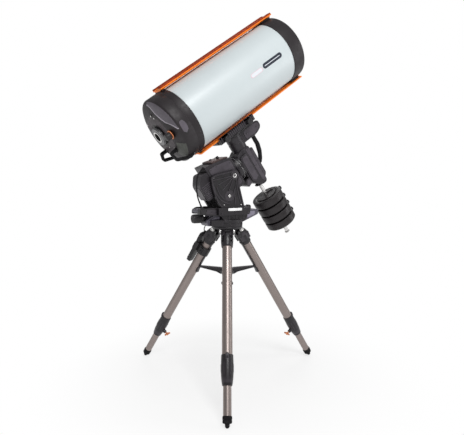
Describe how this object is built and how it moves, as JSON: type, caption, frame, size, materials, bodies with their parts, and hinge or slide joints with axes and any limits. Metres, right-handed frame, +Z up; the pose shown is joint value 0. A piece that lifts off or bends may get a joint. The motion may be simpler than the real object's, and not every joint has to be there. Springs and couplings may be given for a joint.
{
  "type": "schmidt-cassegrain telescope",
  "caption": "Short catadioptric telescope tube on a German equatorial mount with counterweights, standing on a tube-legged steel tripod.",
  "frame": {"origin": "on the ground under the middle of the whole object, 67 mm north of the tripod axis", "axes": "+Z up, +X north, the way the polar axis and the tube point, +Y west"},
  "size_m": [1.008, 0.9968, 1.8989],
  "materials": {
    "black_cast": "satin black powder coat on castings",
    "black_inner": "matt optical black",
    "black_plastic": "fine textured black plastic",
    "brass": "machined brass",
    "bright_steel": "polished steel",
    "coated_glass": "anti-reflection coated optical glass",
    "copper_knob": "copper orange anodised",
    "machined_steel": "machined steel",
    "mirror": "aluminised glass",
    "orange_anodised": "orange anodised aluminium",
    "painted_grey": "satin charcoal powder coat",
    "pearl_tube": "gloss pearl white enamel",
    "rubber": "moulded rubber",
    "steel_tube": "brushed stainless steel"
  },
  "bodies": {
    "tripod_head": {"tripod_head": "black_cast", "leg_pins": "bright_steel", "centre_rod": "machined_steel"},
    "spreader": {"spreader": "black_cast"},
    "tension_knob": {"tension_knob": "black_plastic"},
    "hand_controller": {"hand_controller": "black_plastic"},
    "azimuth_base": {"azimuth_base": "painted_grey", "side_plates": "painted_grey", "motor_lead": "rubber", "controller_cord": "rubber"},
    "azimuth_knobs": {"azimuth_knobs": "black_plastic"},
    "altitude_screw": {"altitude_screw": "black_plastic"},
    "polar_housing": {"ra_housing": "painted_grey", "ra_covers": "black_plastic", "ra_bearings": "machined_steel"},
    "polar_worm": {"ra_worm": "machined_steel"},
    "declination_housing": {"ra_shaft": "machined_steel", "ra_worm_wheel": "brass", "dec_housing": "painted_grey", "dec_motor_cover": "black_plastic", "dec_bearings": "machined_steel", "carry_handle": "rubber", "counterweight_bar": "bright_steel"},
    "declination_worm": {"dec_worm": "machined_steel"},
    "counterweight_top": {"counterweight_top": "painted_grey"},
    "counterweight_top_knob": {"counterweight_top_knob": "black_plastic"},
    "counterweights_lower": {"counterweights_lower": "painted_grey"},
    "saddle": {"dec_shaft": "machined_steel", "dec_worm_wheel": "brass", "saddle": "painted_grey"},
    "saddle_jaw": {"saddle_jaw": "painted_grey"},
    "saddle_knob_a": {"saddle_knob_a": "black_plastic"},
    "saddle_knob_b": {"saddle_knob_b": "black_plastic"},
    "optical_tube": {"tube": "pearl_tube", "front_cell": "painted_grey", "rear_cell": "painted_grey", "rails": "orange_anodised", "corrector": "coated_glass", "secondary": "black_inner", "baffle_tube": "black_inner", "rear_handles": "rubber", "rear_port": "machined_steel"},
    "primary_mirror": {"primary_mirror": "mirror"},
    "focus_knob": {"focus_knob": "copper_knob"},
    "leg_a": {"leg_a_fittings": "black_cast", "leg_a_tube": "steel_tube"},
    "leg_a_lower": {"leg_a_lower_tube": "steel_tube", "leg_a_foot": "rubber"},
    "leg_a_knob": {"leg_a_knob": "copper_knob"},
    "leg_b": {"leg_b_fittings": "black_cast", "leg_b_tube": "steel_tube", "controller_holder": "black_plastic"},
    "leg_b_lower": {"leg_b_lower_tube": "steel_tube", "leg_b_foot": "rubber"},
    "leg_b_knob": {"leg_b_knob": "copper_knob"},
    "leg_c": {"leg_c_fittings": "black_cast", "leg_c_tube": "steel_tube"},
    "leg_c_lower": {"leg_c_lower_tube": "steel_tube", "leg_c_foot": "rubber"},
    "leg_c_knob": {"leg_c_knob": "copper_knob"}
  },
  "joints": [
    {"name": "leg_a_fold", "type": "hinge", "parent": "tripod_head", "child": "leg_a", "pos_m": [0.0018, 0, 0.785], "axis": [0, 1, 0], "range_deg": [0, 9]},
    {"name": "leg_a_extend", "type": "slide", "parent": "leg_a", "child": "leg_a_lower", "axis": [0.5344, 0, -0.8453], "range_m": [-0.11, 0.3]},
    {"name": "leg_a_clamp", "type": "hinge", "parent": "leg_a", "child": "leg_a_knob", "pos_m": [0.33626, 0, 0.16237], "axis": [-0.8453, 0, -0.5344], "range_deg": [0, 360]},
    {"name": "leg_b_fold", "type": "hinge", "parent": "tripod_head", "child": "leg_b", "pos_m": [-0.1014, 0.05958, 0.785], "axis": [-0.866, -0.5, 0], "range_deg": [0, 9]},
    {"name": "leg_b_extend", "type": "slide", "parent": "leg_b", "child": "leg_b_lower", "axis": [-0.2672, 0.4628, -0.8453], "range_m": [-0.11, 0.3]},
    {"name": "leg_b_clamp", "type": "hinge", "parent": "leg_b", "child": "leg_b_knob", "pos_m": [-0.26863, 0.34923, 0.16237], "axis": [0.4226, -0.732, -0.5344], "range_deg": [0, 360]},
    {"name": "leg_c_fold", "type": "hinge", "parent": "tripod_head", "child": "leg_c", "pos_m": [-0.1014, -0.05958, 0.785], "axis": [0.866, -0.5, 0], "range_deg": [0, 9]},
    {"name": "leg_c_extend", "type": "slide", "parent": "leg_c", "child": "leg_c_lower", "axis": [-0.2672, -0.4628, -0.8453], "range_m": [-0.11, 0.3]},
    {"name": "leg_c_clamp", "type": "hinge", "parent": "leg_c", "child": "leg_c_knob", "pos_m": [-0.26863, -0.34923, 0.16237], "axis": [0.4226, 0.732, -0.5344], "range_deg": [0, 360]},
    {"name": "spreader_slide", "type": "slide", "parent": "tripod_head", "child": "spreader", "axis": [0, 0, -1], "range_m": [0, 0.1]},
    {"name": "tension_knob_turn", "type": "hinge", "parent": "spreader", "child": "tension_knob", "pos_m": [-0.067, 0, 0.5], "axis": [0, 0, 1], "range_deg": [0, 720]},
    {"name": "hand_controller_unclip", "type": "slide", "parent": "leg_b", "child": "hand_controller", "axis": [-0.4226, 0.732, 0.5344], "range_m": [0, 0.08]},
    {"name": "azimuth", "type": "hinge", "parent": "tripod_head", "child": "azimuth_base", "pos_m": [-0.067, 0, 0.805], "axis": [0, 0, 1], "range_deg": [-6, 6]},
    {"name": "azimuth_screw", "type": "hinge", "parent": "azimuth_base", "child": "azimuth_knobs", "pos_m": [0.04, 0, 0.903], "axis": [0, 1, 0], "range_deg": [-360, 360]},
    {"name": "altitude", "type": "hinge", "parent": "azimuth_base", "child": "polar_housing", "pos_m": [-0.067, 0, 1.066], "axis": [0, 1, 0], "range_deg": [-25, 0]},
    {"name": "altitude_screw", "type": "hinge", "parent": "azimuth_base", "child": "altitude_screw", "pos_m": [-0.237, 0, 0.85], "axis": [-1, 0, 0], "range_deg": [-900, 0]},
    {"name": "polar_turn", "type": "hinge", "parent": "polar_housing", "child": "declination_housing", "pos_m": [-0.067, 0, 1.066], "axis": [0.8192, 0, 0.5736], "range_deg": [-90, 90]},
    {"name": "polar_worm_turn", "type": "hinge", "parent": "polar_housing", "child": "polar_worm", "pos_m": [-0.12455, 0, 1.09065], "axis": [0, 1, 0], "range_deg": [-16200, 16200]},
    {"name": "declination_turn", "type": "hinge", "parent": "declination_housing", "child": "saddle", "pos_m": [-0.03836, 0, 1.26917], "axis": [0.5736, 0, -0.8192], "range_deg": [-180, 180]},
    {"name": "declination_worm_turn", "type": "hinge", "parent": "declination_housing", "child": "declination_worm", "pos_m": [0.09118, 0, 1.15601], "axis": [0, 1, 0], "range_deg": [-32400, 32400]},
    {"name": "counterweight_top_slide", "type": "slide", "parent": "declination_housing", "child": "counterweight_top", "axis": [-0.5736, 0, 0.8192], "range_m": [0, 0.06]},
    {"name": "counterweight_top_screw", "type": "hinge", "parent": "counterweight_top", "child": "counterweight_top_knob", "pos_m": [0.27242, 0, 0.99969], "axis": [0.8192, 0, 0.5736], "range_deg": [0, 360]},
    {"name": "counterweights_lower_slide", "type": "slide", "parent": "declination_housing", "child": "counterweights_lower", "axis": [0.5736, 0, -0.8192], "range_m": [0, 0.055]},
    {"name": "saddle_jaw_slide", "type": "slide", "parent": "saddle", "child": "saddle_jaw", "axis": [0, -1, 0], "range_m": [0, 0.004]},
    {"name": "saddle_knob_a_turn", "type": "hinge", "parent": "saddle_jaw", "child": "saddle_knob_a", "pos_m": [-0.10717, -0.07, 1.24541], "axis": [0, -1, 0], "range_deg": [0, 1080]},
    {"name": "saddle_knob_b_turn", "type": "hinge", "parent": "saddle_jaw", "child": "saddle_knob_b", "pos_m": [0.0239, -0.07, 1.33718], "axis": [0, -1, 0], "range_deg": [0, 1080]},
    {"name": "tube_balance_slide", "type": "slide", "parent": "saddle", "child": "optical_tube", "axis": [0.8192, 0, 0.5736], "range_m": [-0.06, 0.06]},
    {"name": "mirror_focus", "type": "slide", "parent": "optical_tube", "child": "primary_mirror", "axis": [0.8192, 0, 0.5736], "range_m": [-0.01, 0.014]},
    {"name": "focus_knob_turn", "type": "hinge", "parent": "optical_tube", "child": "focus_knob", "pos_m": [-0.43789, -0.112, 1.247], "axis": [-0.8192, 0, -0.5736], "range_deg": [-9000, 9000]}
  ],
  "couplings": [
    {"joint": "leg_b_fold", "follows": "leg_a_fold", "ratio": 1},
    {"joint": "leg_c_fold", "follows": "leg_a_fold", "ratio": 1},
    {"joint": "spreader_slide", "follows": "leg_a_fold", "m_per_rad": 0.62389},
    {"joint": "azimuth_screw", "follows": "azimuth", "ratio": 60},
    {"joint": "altitude_screw", "follows": "altitude", "ratio": 36},
    {"joint": "polar_worm_turn", "follows": "polar_turn", "ratio": 180},
    {"joint": "declination_worm_turn", "follows": "declination_turn", "ratio": 180},
    {"joint": "saddle_knob_a_turn", "follows": "saddle_jaw_slide", "rad_per_m": 4188.8},
    {"joint": "saddle_knob_b_turn", "follows": "saddle_jaw_slide", "rad_per_m": 4188.8},
    {"joint": "focus_knob_turn", "follows": "mirror_focus", "rad_per_m": 8377.6}
  ]
}
